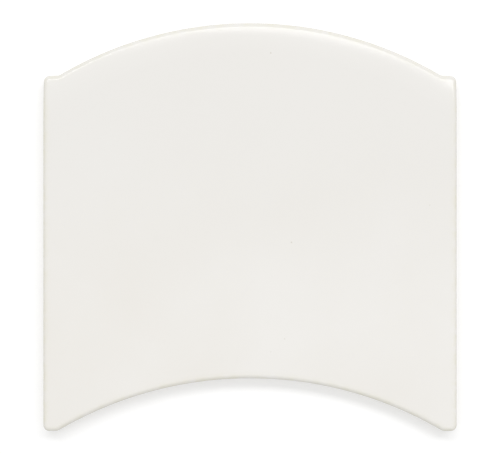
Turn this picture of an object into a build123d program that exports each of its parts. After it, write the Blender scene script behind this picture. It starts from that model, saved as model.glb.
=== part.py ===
from build123d import *
import os
from math import sqrt

# A pressed and glazed wall tile with straight sides, an arched top edge and a hollow bottom
# edge that fits over the arch of the tile below. It lies on its back: X runs across the tile,
# +Y runs towards the arch and +Z out of the glazed face. The origin is on the back, in the
# middle of the tile's width and height. All sizes are in millimetres.

# Outline
width = 150.0  # from one straight side to the other
side_height = 129.0  # a straight side, from the tip at its foot to the shoulder
arch_radius = 136.0  # arched top edge
shoulder = 5.5  # level step between a straight side and the arch
course_gap = 1.5  # joint between an arch and the hollow that sits over it
blend_radius = 3.0  # soft turn where the arch leaves a shoulder and the hollow a tip
corner_ease = 0.6  # roundness left on an outer corner at the top of the rounded edge

# Section
thickness = 8.0  # from the back to the glazed face
edge_round = 1.6  # rounded edge all round the face
roll_width = 11.0  # margin along the arch that falls away from the face
roll_depth = 1.0  # how far that margin has fallen at the arch
back_ease = 0.8  # chamfer round the back

# Keyed back
rim_width = 6.0  # plain rim that follows the outline
rib_width = 2.0  # ribs that cross between the keys
key_pitch = 12.0  # from rib to rib
key_depth = 0.8  # how deep the keys are pressed
least_key = 4.0  # a key that would be narrower than this is left solid

half_width = width / 2
arch_half_chord = half_width - shoulder
arch_centre_drop = sqrt(arch_radius**2 - arch_half_chord**2)
arch_rise = arch_radius - arch_centre_drop
height = side_height + arch_rise
apex_y = height / 2
shoulder_y = apex_y - arch_rise
arch_centre_y = apex_y - arch_radius
tip_y = -height / 2

# The hollow shares its centre with the arch that it sits over, so their joint is even.
hollow_radius = arch_radius + course_gap
hollow_centre_drop = arch_centre_drop + course_gap
hollow_half_chord = sqrt(hollow_radius**2 - hollow_centre_drop**2)
hollow_centre_y = tip_y - hollow_centre_drop
hollow_y = hollow_centre_y + hollow_radius

corner_radius = edge_round + corner_ease


def tile_plan():
    """The outline from above, with soft turns and rounded corners."""
    with BuildSketch() as plan:
        with BuildLine():
            left = Line((-half_width, tip_y), (-half_width, shoulder_y))
            left_shoulder = Line(left @ 1, (-arch_half_chord, shoulder_y))
            arch = ThreePointArc(left_shoulder @ 1, (0, apex_y), (arch_half_chord, shoulder_y))
            right_shoulder = Line(arch @ 1, (half_width, shoulder_y))
            right = Line(right_shoulder @ 1, (half_width, tip_y))
            right_tip = Line(right @ 1, (hollow_half_chord, tip_y))
            hollow = ThreePointArc(right_tip @ 1, (0, hollow_y), (-hollow_half_chord, tip_y))
            Line(hollow @ 1, left @ 0)
        make_face()
        _, *turns, _ = plan.vertices().group_by(Axis.X)
        fillet([vertex for turn in turns for vertex in turn], blend_radius)
        left_corners, *_, right_corners = plan.vertices().group_by(Axis.X)
        fillet(left_corners + right_corners, corner_radius)
    return plan.sketch


def roll_cutter():
    """What comes off the face, so that a margin round the arch falls away from it."""
    roll_radius = (roll_width**2 + roll_depth**2) / (2 * roll_depth)
    roll_start = arch_radius - roll_width
    past_corners = sqrt(half_width**2 + arch_centre_drop**2) + edge_round
    fall_past_corners = roll_radius - sqrt(roll_radius**2 - (past_corners - roll_start) ** 2)
    top_z = thickness + edge_round
    with BuildSketch(Plane.XZ.offset(-arch_centre_y)) as profile:
        with BuildLine():
            roll = ThreePointArc(
                (roll_start, thickness),
                (arch_radius, thickness - roll_depth),
                (past_corners, thickness - fall_past_corners),
            )
            Polyline(roll @ 1, (past_corners, top_z), (roll_start, top_z), roll @ 0)
        make_face()
    return revolve(profile.sketch, Axis((0, arch_centre_y, 0), (0, 0, 1)))


def keys():
    """The shallow cells between the ribs of the back, inside its plain rim."""
    field = Rectangle(width - 2 * rim_width, height - 2 * rim_width)
    field &= Pos(0, arch_centre_y) * Circle(arch_radius - rim_width)
    field -= Pos(0, hollow_centre_y) * Circle(hollow_radius + rim_width)
    upright = Rectangle(rib_width, height)
    level = Rectangle(width, rib_width)
    columns = int(half_width / key_pitch)
    rows = int(apex_y / key_pitch)
    ribs = [Pos(key_pitch * i, 0) * upright for i in range(-columns, columns + 1)]
    ribs += [Pos(0, key_pitch * i) * level for i in range(-rows, rows + 1)]
    cells = []
    for cell in (field - ribs).faces():
        size = cell.bounding_box().size
        if min(size.X, size.Y) > least_key:
            cells.append(cell)
    return extrude(Sketch(cells), key_depth)


def tile():
    """One tile: pressed body, rolled margin, rounded face edge, eased and keyed back."""
    body = extrude(tile_plan(), thickness) - roll_cutter()
    walls = body.faces().filter_by(lambda face: abs(face.normal_at().Z) < 0.5)
    face_edge = walls.edges().filter_by_position(Axis.Z, thickness / 2 + roll_depth, thickness)
    body = fillet(face_edge, edge_round)
    back = body.faces().sort_by(Axis.Z)[0]
    body = chamfer(back.edges(), back_ease)
    return body - keys()


os.makedirs("parts", exist_ok=True)
export_step(tile(), "parts/tile.step")
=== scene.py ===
from math import atan2, ceil, cos, hypot, pi, radians, sin, sqrt

import bmesh
import bpy
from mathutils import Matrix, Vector
from mathutils.kdtree import KDTree


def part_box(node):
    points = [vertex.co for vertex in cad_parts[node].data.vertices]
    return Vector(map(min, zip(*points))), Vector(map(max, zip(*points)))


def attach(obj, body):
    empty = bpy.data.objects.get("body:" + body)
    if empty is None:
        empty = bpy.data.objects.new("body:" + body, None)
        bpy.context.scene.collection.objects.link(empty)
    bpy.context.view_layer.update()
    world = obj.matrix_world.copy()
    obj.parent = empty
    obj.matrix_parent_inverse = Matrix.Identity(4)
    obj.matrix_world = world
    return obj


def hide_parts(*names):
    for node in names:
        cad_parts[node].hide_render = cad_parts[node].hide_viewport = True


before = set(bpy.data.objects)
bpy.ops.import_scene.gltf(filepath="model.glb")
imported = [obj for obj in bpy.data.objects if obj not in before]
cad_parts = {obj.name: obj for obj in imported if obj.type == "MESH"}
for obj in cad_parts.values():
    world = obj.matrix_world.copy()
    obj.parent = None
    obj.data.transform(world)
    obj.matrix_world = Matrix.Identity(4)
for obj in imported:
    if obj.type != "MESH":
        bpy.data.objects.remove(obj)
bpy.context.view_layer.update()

scene = bpy.context.scene


# The tile's plan: straight sides, a level shoulder at each end of the arched top edge, and a
# hollow bottom edge that fits over the arch of the tile below. It is die-pressed, so every
# turn in it is a soft one. Each point of the outline is kept with its way out of the tile.
low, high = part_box("tile")
half_width = (high.x - low.x) / 2
arch_radius = 0.136
shoulder_length = 0.0055
course_gap = 0.0015
turn_radius = 0.003
edge_round = 0.0016
corner_ease = 0.0006
corner_radius = edge_round + corner_ease

arch_steps = 66
turn_steps = 5
level_steps = 2
corner_steps = 4
side_steps = 122


def turn_centre(arc_centre_y, arc_radius, level_y):
    """The centre of the soft turn between an arc and the level edge that it meets."""
    turn_y = level_y + turn_radius
    return sqrt((arc_radius + turn_radius) ** 2 - (turn_y - arc_centre_y) ** 2), turn_y


def arc(centre, radius, start, end, steps, way_out=1):
    """Points on an arc, each with its way out of the tile; way_out is -1 on a hollow arc."""
    points = []
    for step in range(steps + 1):
        angle = start + (end - start) * step / steps
        across = cos(angle)
        along = sin(angle)
        points.append(
            (
                centre[0] + radius * across,
                centre[1] + radius * along,
                way_out * across,
                way_out * along,
            )
        )
    return points


def between(start, end, share):
    """A point on the straight line from one point to another, at a share of the way."""
    return [(1 - share) * a + share * b for a, b in zip(start, end)]


def straight(start, end, way_out, steps):
    """Points on a straight edge, each with its way out of the tile."""
    return [(*between(start, end, step / steps), *way_out) for step in range(steps + 1)]


def joined(*stretches):
    """Stretches of outline end to end, with each shared point kept once."""
    points = list(stretches[0])
    for stretch in stretches[1:]:
        points += stretch[1:]
    return points


def mirrored(line):
    """A line of the outline, on the other side of the tile."""
    return [(-x, y, -out_x, out_y) for x, y, out_x, out_y in line]


def both_halves(right_half):
    """A line from the left corner to the right one, made from its right half."""
    return joined(mirrored(right_half)[::-1], right_half)


arch_centre_y = high.y - arch_radius
arch_centre_drop = sqrt(arch_radius**2 - (half_width - shoulder_length) ** 2)
shoulder_y = arch_centre_y + arch_centre_drop
shoulder_turn = turn_centre(arch_centre_y, arch_radius, shoulder_y)
arch_end = atan2(shoulder_turn[1] - arch_centre_y, shoulder_turn[0])

tip_y = low.y
hollow_radius = arch_radius + course_gap
hollow_centre_y = tip_y - arch_centre_drop - course_gap
tip_turn = turn_centre(hollow_centre_y, hollow_radius, tip_y)
hollow_end = atan2(tip_turn[1] - hollow_centre_y, tip_turn[0])

upper_corner = (half_width - corner_radius, shoulder_y - corner_radius)
lower_corner = (half_width - corner_radius, tip_y + corner_radius)

top_edge = both_halves(
    joined(
        arc((0, arch_centre_y), arch_radius, pi / 2, arch_end, arch_steps),
        arc(shoulder_turn, turn_radius, pi + arch_end, 1.5 * pi, turn_steps, -1),
        straight((shoulder_turn[0], shoulder_y), (upper_corner[0], shoulder_y), (0, 1), level_steps),
        arc(upper_corner, corner_radius, pi / 2, pi / 4, corner_steps),
    )
)
bottom_edge = both_halves(
    joined(
        arc((0, hollow_centre_y), hollow_radius, pi / 2, hollow_end, arch_steps, -1),
        arc(tip_turn, turn_radius, hollow_end - pi, -pi / 2, turn_steps),
        straight((tip_turn[0], tip_y), (lower_corner[0], tip_y), (0, -1), level_steps),
        arc(lower_corner, corner_radius, -pi / 2, -pi / 4, corner_steps),
    )
)
right_edge = joined(
    arc(lower_corner, corner_radius, -pi / 4, 0, corner_steps),
    straight((half_width, lower_corner[1]), (half_width, upper_corner[1]), (1, 0), side_steps),
    arc(upper_corner, corner_radius, 0, pi / 4, corner_steps),
)
left_edge = mirrored(right_edge)
outline = bottom_edge[:-1] + right_edge[:-1] + top_edge[:0:-1] + left_edge[:0:-1]


# The tile's face: a flat glazed field whose margin falls away gently towards the arch, where
# the die was eased, and whose edge is rounded all round. The glaze lies on it a little
# unevenly, as poured glaze does, and never above the true height of the tile.
edge_steps = 9
roll_width = 0.011
roll_depth = 0.001
roll_radius = (roll_width**2 + roll_depth**2) / (2 * roll_depth)

# Each swell of the glaze has its length, its heading in degrees, its height and its start.
swells = (
    (0.052, 25, 0.000014, 0.7),
    (0.031, 110, 0.000009, 2.3),
    (0.019, 65, 0.000005, 4.1),
    (0.013, 160, 0.000003, 1.2),
)

# The two materials' slots on the tile.
glaze_slot = 0
biscuit_slot = 1


def face_height(x, y):
    """The height of the glazed field at a point, before its rounded edge."""
    into_roll = max(0, hypot(x, y - arch_centre_y) - arch_radius + roll_width)
    fall = roll_radius - sqrt(roll_radius**2 - into_roll**2)
    for length, heading, size, start in swells:
        along = x * cos(radians(heading)) + y * sin(radians(heading))
        fall += size * (1 + sin(2 * pi * along / length + start))
    return high.z - fall


def inset_point(point, inset):
    """A point of the outline moved straight into the tile."""
    x, y, out_x, out_y = point
    return x - inset * out_x, y - inset * out_y


field_bottom, field_top, field_left, field_right = (
    [inset_point(point, edge_round) for point in edge]
    for edge in (bottom_edge, top_edge, left_edge, right_edge)
)


def field_place(column, row):
    """A place on the flat field, spread evenly between the four lines round it."""
    bottom = field_bottom[column]
    top = field_top[column]
    left = field_left[row]
    right = field_right[row]
    foot_x, foot_y = field_right[0]
    head_y = field_right[-1][1]
    across = (bottom[0] + top[0]) / 2 / (2 * foot_x) + 0.5
    along = (right[1] - foot_y) / (head_y - foot_y)
    from_ends = between(bottom, top, along)
    from_sides = between(left, right, across)
    from_corners = between(
        between(field_left[0], field_left[-1], along),
        between(field_right[0], field_right[-1], along),
        across,
    )
    return [a + b - c for a, b, c in zip(from_ends, from_sides, from_corners)]


columns = len(top_edge) - 1
rows = len(right_edge) - 1
bpy.ops.object.select_all(action="DESELECT")
bpy.ops.mesh.primitive_grid_add(x_subdivisions=columns, y_subdivisions=rows, size=1)
tile = bpy.context.object
tile.name = "glazed_tile"
tile.data.name = "glazed_tile"
for vertex in tile.data.vertices:
    column = round((vertex.co.x + 0.5) * columns)
    row = round((vertex.co.y + 0.5) * rows)
    place = field_place(column, row)
    vertex.co = (*place, face_height(*place))

ring = [(*inset_point(point, edge_round), high.z) for point in outline]


def extrude_ring(slot, place_of, *step):
    """Extrudes the open edge to its next ring; place_of puts each point of the outline there."""
    bpy.ops.mesh.extrude_region_move()
    mesh = bmesh.from_edit_mesh(tile.data)
    finder = KDTree(len(ring))
    for number, place in enumerate(ring):
        finder.insert(place, number)
    finder.balance()
    ring[:] = [place_of(point, *step) for point in outline]
    for vertex in [v for v in mesh.verts if v.select]:
        _, number, _ = finder.find(vertex.co)
        vertex.co = ring[number]
        for face in vertex.link_faces:
            face.material_index = slot
    bmesh.update_edit_mesh(tile.data)


def on_rounded_edge(point, angle):
    """A place on the rounded edge, at an angle from 0 where it starts to a quarter turn."""
    x, y = inset_point(point, edge_round * (1 - sin(angle)))
    return x, y, face_height(x, y) - edge_round * (1 - cos(angle))


bpy.ops.object.mode_set(mode="EDIT")
bpy.ops.mesh.select_mode(type="EDGE")
bpy.ops.mesh.select_all(action="DESELECT")
bpy.ops.mesh.select_non_manifold()
for step in range(1, edge_steps + 1):
    extrude_ring(glaze_slot, on_rounded_edge, pi / 2 * step / edge_steps)

# The tile's sides: the glaze runs over the edge and stops part of the way down in a wavy lip,
# a hair thicker than the bare biscuit below it. The biscuit meets the back in a small
# chamfer, which the press leaves so that the edge does not chip.
lip_height = 0.0028
lip_thickness = 0.00018
lip_foot = 0.0001
back_ease = 0.0008

# Each wave of the lip has its count round the tile, its height and its start.
lip_waves = ((5, 0.00028, 0.4), (11, 0.00022, 2.1), (23, 0.00014, 4.0), (41, 0.00008, 1.2))

# Each step of the lip's rounded end goes so far in from the side, at a height above its stop.
lip_steps = ((0, 0.0004), (0.00004, 0.00014), (0.00011, 0.00003), (lip_thickness, 0))
turns = {point: 2 * pi * number / len(outline) for number, point in enumerate(outline)}


def on_lip(point, inset, above):
    """A place near the wavy line where the glaze stops."""
    stop = lip_height + sum(
        size * sin(count * turns[point] + start) for count, size, start in lip_waves
    )
    return *inset_point(point, inset), stop + above


def at_height(point, inset, height):
    """A place on a level line round the tile."""
    return *inset_point(point, inset), height


for inset, above in lip_steps:
    extrude_ring(glaze_slot, on_lip, inset, above)
extrude_ring(biscuit_slot, on_lip, lip_thickness, -lip_foot)
extrude_ring(biscuit_slot, at_height, lip_thickness, back_ease)
extrude_ring(biscuit_slot, at_height, back_ease, 0)

# The tile's back: a plain rim that follows the outline, and crossing ribs with shallow keys
# between them that the adhesive grips. The keys are pressed with sloping walls, so that the
# die lets go of them, and a key too narrow to press is left solid.
rim_width = 0.006
rib_width = 0.002
key_pitch = 0.012
key_depth = 0.0008
key_draft = 0.0003
least_key = 0.004
same_place = 0.00001
crisp_angle = radians(32)


def inside_rim(x, y):
    """A place, moved to the inner edge of the rim if it lies on the rim."""
    limit = half_width - rim_width
    x = max(-limit, min(limit, x))
    upper = arch_centre_y + sqrt((arch_radius - rim_width) ** 2 - x**2)
    hollow_y = hollow_centre_y + sqrt((hollow_radius + rim_width) ** 2 - x**2)
    lower = max(tip_y + rim_width, hollow_y)
    return x, max(lower, min(upper, y))


def on_rim_edge(point):
    """A place on the rim's inner edge."""
    return *inside_rim(*inset_point(point, rim_width)), 0


def select_back(wanted=lambda face: True):
    """Selects the faces of the back that lie inside its rim and pass a test, if one is given."""
    bpy.ops.mesh.select_all(action="DESELECT")
    mesh = bmesh.from_edit_mesh(tile.data)
    for face in mesh.faces:
        if max(vertex.co.z for vertex in face.verts) < same_place:
            centre = face.calc_center_bounds().xy
            from_field = (centre - Vector(inside_rim(*centre))).length
            if from_field < same_place and wanted(face):
                face.select_set(True)
    bmesh.update_edit_mesh(tile.data)


def is_key(face):
    """Whether a face lies between the ribs and is wide enough to press as a key."""
    for place in face.calc_center_bounds().xy:
        from_rib = (place + key_pitch / 2) % key_pitch - key_pitch / 2
        if abs(from_rib) < rib_width / 2:
            return False
    for axis in (0, 1):
        places = [vertex.co[axis] for vertex in face.verts]
        if max(places) - min(places) <= least_key:
            return False
    return True


extrude_ring(biscuit_slot, on_rim_edge)
bpy.ops.mesh.remove_doubles(threshold=same_place)
bpy.ops.mesh.edge_face_add()
bpy.ops.mesh.select_mode(type="FACE")
rib_count = ceil(half_width / key_pitch)
for direction in ((1, 0, 0), (0, 1, 0)):
    for number in range(-rib_count, rib_count + 1):
        for side in (-1, 1):
            offset = number * key_pitch + side * rib_width / 2
            select_back()
            bpy.ops.mesh.bisect(
                plane_co=[offset * part for part in direction],
                plane_no=direction,
                use_fill=False,
                clear_inner=False,
                clear_outer=False,
            )
select_back(is_key)
bpy.ops.mesh.inset(thickness=key_draft, depth=-key_depth, use_individual=True)
bpy.ops.mesh.select_all(action="SELECT")
bpy.ops.mesh.normals_make_consistent(inside=False)
bpy.ops.object.mode_set(mode="OBJECT")
bpy.ops.object.shade_smooth_by_angle(angle=crisp_angle)


# The glaze: a glossy, slightly warm white that is clouded a little by the firing, turns creamy
# where it thins over the rounded edge, and has a fine orange-peel skin and a few pinholes. Its
# colour is painted a touch darker towards the arch, as painted shade.
def add_group(name, inputs, outputs):
    """An empty node group with named inputs and outputs."""
    group = bpy.data.node_groups.new(name, "ShaderNodeTree")
    for socket, kind, value in inputs:
        made = group.interface.new_socket(name=socket, in_out="INPUT", socket_type=kind)
        if value is not None:
            made.default_value = value
    for socket, kind in outputs:
        group.interface.new_socket(name=socket, in_out="OUTPUT", socket_type=kind)
    start = group.nodes.new("NodeGroupInput")
    end = group.nodes.new("NodeGroupOutput")
    return group, start.outputs, end.inputs


def add_node(tree, kind, inputs=None, **settings):
    """A node with its settings. Each input, by name or number, is a value or an output."""
    node = tree.nodes.new(kind)
    for name, value in settings.items():
        setattr(node, name, value)
    for name, value in (inputs or {}).items():
        if isinstance(value, bpy.types.NodeSocket):
            tree.links.new(value, node.inputs[name])
        else:
            node.inputs[name].default_value = value
    return node


def add_maths(tree, operation, *terms):
    """What a sum, product or comparison of values and outputs comes to."""
    node = add_node(tree, "ShaderNodeMath", dict(enumerate(terms)), operation=operation)
    return node.outputs["Value"]


def add_blend(tree, share, first, second):
    """A colour that goes from the first to the second as the share goes from 0 to 1."""
    first_colour = 6
    second_colour = 7
    blended_colour = 2
    inputs = {"Factor": share, first_colour: first, second_colour: second}
    return add_node(tree, "ShaderNodeMix", inputs, data_type="RGBA").outputs[blended_colour]


def add_material(name):
    """A material with its nodes and its shader."""
    material = bpy.data.materials.new(name)
    material.use_nodes = True
    return material, material.node_tree, material.node_tree.nodes["Principled BSDF"]


def srgb(red, green, blue):
    """A colour as it shows on a screen, 0 to 255, as the linear one that nodes take."""
    linear = []
    for part in (red / 255, green / 255, blue / 255):
        linear.append(part / 12.92 if part <= 0.04045 else ((part + 0.055) / 1.055) ** 2.4)
    return (*linear, 1)


# Soft clouds from one colour to another, and how far they go at each point.
cloud, cloud_in, cloud_out = add_group(
    "firing_cloud",
    [
        ("Place", "NodeSocketVector", None),
        ("Size", "NodeSocketFloat", 20.0),
        ("Light Colour", "NodeSocketColor", (1, 1, 1, 1)),
        ("Dark Colour", "NodeSocketColor", (0.9, 0.9, 0.9, 1)),
    ],
    [("Colour", "NodeSocketColor"), ("Mask", "NodeSocketFloat")],
)
cloud_noise = add_node(
    cloud,
    "ShaderNodeTexNoise",
    {"Vector": cloud_in["Place"], "Scale": cloud_in["Size"], "Detail": 3.0, "Roughness": 0.55},
)
cloud_range = add_node(
    cloud,
    "ShaderNodeMapRange",
    {"Value": cloud_noise.outputs["Fac"], "From Min": 0.3, "From Max": 0.7},
)
cloud_mask = cloud_range.outputs["Result"]
cloud_colour = add_blend(cloud, cloud_mask, cloud_in["Dark Colour"], cloud_in["Light Colour"])
cloud.links.new(cloud_colour, cloud_out["Colour"])
cloud.links.new(cloud_mask, cloud_out["Mask"])

# Small round pits at the middle of a share of the cells of a scattered pattern.
pits, pits_in, pits_out = add_group(
    "sparse_pits",
    [
        ("Place", "NodeSocketVector", None),
        ("Density", "NodeSocketFloat", 60.0),
        ("Width", "NodeSocketFloat", 0.05),
        ("Share", "NodeSocketFloat", 0.1),
    ],
    [("Mask", "NodeSocketFloat")],
)
pits_cells = add_node(
    pits, "ShaderNodeTexVoronoi", {"Vector": pits_in["Place"], "Scale": pits_in["Density"]}
)
pits_draw = add_node(pits, "ShaderNodeSeparateColor", {"Color": pits_cells.outputs["Color"]})
pits_chosen = add_maths(pits, "LESS_THAN", pits_draw.outputs["Red"], pits_in["Share"])
pits_round = add_node(
    pits,
    "ShaderNodeMapRange",
    {
        "Value": pits_cells.outputs["Distance"],
        "From Max": pits_in["Width"],
        "To Min": 1.0,
        "To Max": 0.0,
    },
    interpolation_type="SMOOTHSTEP",
)
pits_mask = add_maths(pits, "MULTIPLY", pits_chosen, pits_round.outputs["Result"])
pits.links.new(pits_mask, pits_out["Mask"])

# How thin the glaze is: 1 at the outline, and 0 from a little way inside it.
thin_reach = 0.0032
edge_finder = KDTree(len(outline))
for number, (x, y, _, _) in enumerate(outline):
    edge_finder.insert((x, y, 0), number)
edge_finder.balance()
thinness = tile.data.attributes.new("glaze_thinness", "FLOAT", "POINT")
for number, vertex in enumerate(tile.data.vertices):
    _, _, to_edge = edge_finder.find((vertex.co.x, vertex.co.y, 0))
    thinness.data[number].value = max(0.0, 1 - to_edge / thin_reach) ** 2

glaze_light = srgb(243, 241, 237)
glaze_dark = srgb(239, 236, 230)
# Painted shade: the colour the glazed face is painted towards the arch, a touch darker than its own.
painted_shade_colour = srgb(237, 235, 231)
glaze_cream = srgb(233, 230, 212)
glaze_speck = srgb(196, 188, 170)
# Painted shade: the span of the tile, bottom to top, over which its face is painted darker towards
# the arch, and how far.
shade_start = -0.05
shade_end = 0.05
shade_share = 0.8
pit_sink = -1.5

glaze, glaze_tree, glaze_shader = add_material("white_glaze")
glaze_place = add_node(glaze_tree, "ShaderNodeTexCoord").outputs["Object"]
glaze_cloud = add_node(
    glaze_tree,
    "ShaderNodeGroup",
    {"Place": glaze_place, "Size": 16.0, "Light Colour": glaze_light, "Dark Colour": glaze_dark},
    node_tree=cloud,
)
# Painted shade: a ramp up the tile that darkens the glaze's colour towards the arch.
glaze_axes = add_node(glaze_tree, "ShaderNodeSeparateXYZ", {"Vector": glaze_place})
arch_shade_ramp = add_node(
    glaze_tree,
    "ShaderNodeMapRange",
    {
        "Value": glaze_axes.outputs["Y"],
        "From Min": shade_start,
        "From Max": shade_end,
        "To Max": shade_share,
    },
    interpolation_type="SMOOTHSTEP",
)
glaze_thin = add_node(glaze_tree, "ShaderNodeAttribute", attribute_name="glaze_thinness")
glaze_uneven = add_node(
    glaze_tree, "ShaderNodeGroup", {"Place": glaze_place, "Size": 320.0}, node_tree=cloud
)
glaze_bare = add_maths(
    glaze_tree, "MULTIPLY", glaze_thin.outputs["Fac"], glaze_uneven.outputs["Mask"]
)
glaze_pits = add_node(
    glaze_tree,
    "ShaderNodeGroup",
    {"Place": glaze_place, "Density": 400.0, "Width": 0.14, "Share": 0.016},
    node_tree=pits,
)
# Painted shade: the clouded colour, darkened towards the arch.
glaze_shaded = add_blend(
    glaze_tree, arch_shade_ramp.outputs["Result"], glaze_cloud.outputs["Colour"], painted_shade_colour
)
glaze_edged = add_blend(glaze_tree, glaze_bare, glaze_shaded, glaze_cream)
glaze_colour = add_blend(glaze_tree, glaze_pits.outputs["Mask"], glaze_edged, glaze_speck)
glaze_rough = add_node(
    glaze_tree,
    "ShaderNodeMapRange",
    {"Value": glaze_cloud.outputs["Mask"], "To Min": 0.11, "To Max": 0.16},
)
glaze_peel = add_node(
    glaze_tree, "ShaderNodeTexNoise", {"Vector": glaze_place, "Scale": 420.0, "Detail": 2.0}
)
glaze_relief = add_maths(
    glaze_tree, "MULTIPLY_ADD", glaze_pits.outputs["Mask"], pit_sink, glaze_peel.outputs["Fac"]
)
glaze_bump = add_node(
    glaze_tree, "ShaderNodeBump", {"Strength": 0.05, "Distance": 0.0003, "Height": glaze_relief}
)
glaze_tree.links.new(glaze_colour, glaze_shader.inputs["Base Color"])
glaze_tree.links.new(glaze_rough.outputs["Result"], glaze_shader.inputs["Roughness"])
glaze_tree.links.new(glaze_bump.outputs["Normal"], glaze_shader.inputs["Normal"])

# The biscuit: the bare fired clay of the lower sides and the back, a matt cream white with a
# fine grain, small open pores and faint kiln marks.
biscuit_light = srgb(232, 226, 212)
biscuit_dark = srgb(222, 213, 196)
biscuit_pore = srgb(190, 178, 156)
pore_sink = -1.2

biscuit, biscuit_tree, biscuit_shader = add_material("cream_biscuit")
biscuit_place = add_node(biscuit_tree, "ShaderNodeTexCoord").outputs["Object"]
biscuit_cloud = add_node(
    biscuit_tree,
    "ShaderNodeGroup",
    {
        "Place": biscuit_place,
        "Size": 38.0,
        "Light Colour": biscuit_light,
        "Dark Colour": biscuit_dark,
    },
    node_tree=cloud,
)
biscuit_pores = add_node(
    biscuit_tree,
    "ShaderNodeGroup",
    {"Place": biscuit_place, "Density": 700.0, "Width": 0.22, "Share": 0.16},
    node_tree=pits,
)
biscuit_colour = add_blend(
    biscuit_tree, biscuit_pores.outputs["Mask"], biscuit_cloud.outputs["Colour"], biscuit_pore
)
biscuit_grain = add_node(
    biscuit_tree, "ShaderNodeTexNoise", {"Vector": biscuit_place, "Scale": 2600.0, "Detail": 3.0}
)
biscuit_relief = add_maths(
    biscuit_tree,
    "MULTIPLY_ADD",
    biscuit_pores.outputs["Mask"],
    pore_sink,
    biscuit_grain.outputs["Fac"],
)
biscuit_bump = add_node(
    biscuit_tree, "ShaderNodeBump", {"Strength": 0.5, "Distance": 0.0002, "Height": biscuit_relief}
)
biscuit_shader.inputs["Roughness"].default_value = 0.85
biscuit_tree.links.new(biscuit_colour, biscuit_shader.inputs["Base Color"])
biscuit_tree.links.new(biscuit_bump.outputs["Normal"], biscuit_shader.inputs["Normal"])

tile.data.materials.append(glaze)
tile.data.materials.append(biscuit)
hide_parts("tile")
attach(tile, "root")


# The floor: a plain pale surface that the tile lies on, white to the camera and with the
# tile's own soft shadow on it. It is a hair below the back, so that the two never mix.
def add_seen(tree):
    """1 for what the camera sees, at once or in a reflection or through glass, and 0 for light."""
    path = add_node(tree, "ShaderNodeLightPath").outputs
    seen = add_maths(tree, "MAXIMUM", path["Is Camera Ray"], path["Is Glossy Ray"])
    return add_maths(tree, "MAXIMUM", seen, path["Is Transmission Ray"])


floor_size = 6
floor_drop = 0.0002
floor_lift = 0.42
bpy.ops.object.select_all(action="DESELECT")
bpy.ops.mesh.primitive_plane_add(size=floor_size, location=(0, 0, -floor_drop))
floor = bpy.context.object
floor.name = "floor"
floor_material, floor_tree, floor_shader = add_material("pale_floor")
floor_shader.inputs["Base Color"].default_value = srgb(212, 212, 212)
floor_shader.inputs["Roughness"].default_value = 0.9
floor_shader.inputs["Specular IOR Level"].default_value = 0.0
floor_level = add_maths(floor_tree, "MULTIPLY", add_seen(floor_tree), floor_lift)
floor_glow = add_node(
    floor_tree, "ShaderNodeEmission", {"Color": (1, 1, 1, 1), "Strength": floor_level}
)
floor_sum = add_node(
    floor_tree,
    "ShaderNodeAddShader",
    {0: floor_shader.outputs["BSDF"], 1: floor_glow.outputs["Emission"]},
)
floor_surface = floor_tree.nodes["Material Output"].inputs["Surface"]
floor_tree.links.new(floor_sum.outputs["Shader"], floor_surface)
floor.data.materials.append(floor_material)

# The light: an even pale surround, which the camera sees as white, and one large soft lamp
# beyond the arched edge, which draws the bright line along it.
surround_light = 0.66
surround_seen = 1.0
world = bpy.data.worlds.new("pale_surround")
scene.world = world
world.use_nodes = True
world_tree = world.node_tree
surround = world_tree.nodes["Background"]
surround.inputs["Color"].default_value = (1, 1, 1, 1)
surround_level = add_node(
    world_tree,
    "ShaderNodeMapRange",
    {"Value": add_seen(world_tree), "To Min": surround_light, "To Max": surround_seen},
)
world_tree.links.new(surround_level.outputs["Result"], surround.inputs["Strength"])

lamp_distance = 3.0
lamp_from_zenith = radians(31)
lamp_from_arch = radians(8)
lamp_place = lamp_distance * Vector(
    (
        sin(lamp_from_zenith) * sin(lamp_from_arch),
        sin(lamp_from_zenith) * cos(lamp_from_arch),
        cos(lamp_from_zenith),
    )
)
bpy.ops.object.light_add(type="AREA", location=lamp_place)
lamp = bpy.context.object
lamp.name = "soft_lamp"
lamp.data.shape = "RECTANGLE"
lamp.data.size = 4.0
lamp.data.size_y = 0.85
lamp.data.energy = 43.0
lamp.rotation_euler = (-lamp_place).to_track_quat("-Z", "Y").to_euler()

# The camera: it looks straight down on the tile through a long lens, with the arched edge at
# the top of the picture.
frame_width = 0.181
bpy.ops.object.camera_add()
camera = bpy.context.object
camera.data.lens = 120
camera.data.sensor_width = 36
camera.location = (0, 0, high.z + frame_width * camera.data.lens / camera.data.sensor_width)
camera.rotation_euler = (0, 0, 0)
camera.data.clip_start = 0.01
camera.data.clip_end = 20
scene.camera = camera
scene.view_settings.view_transform = "Standard"
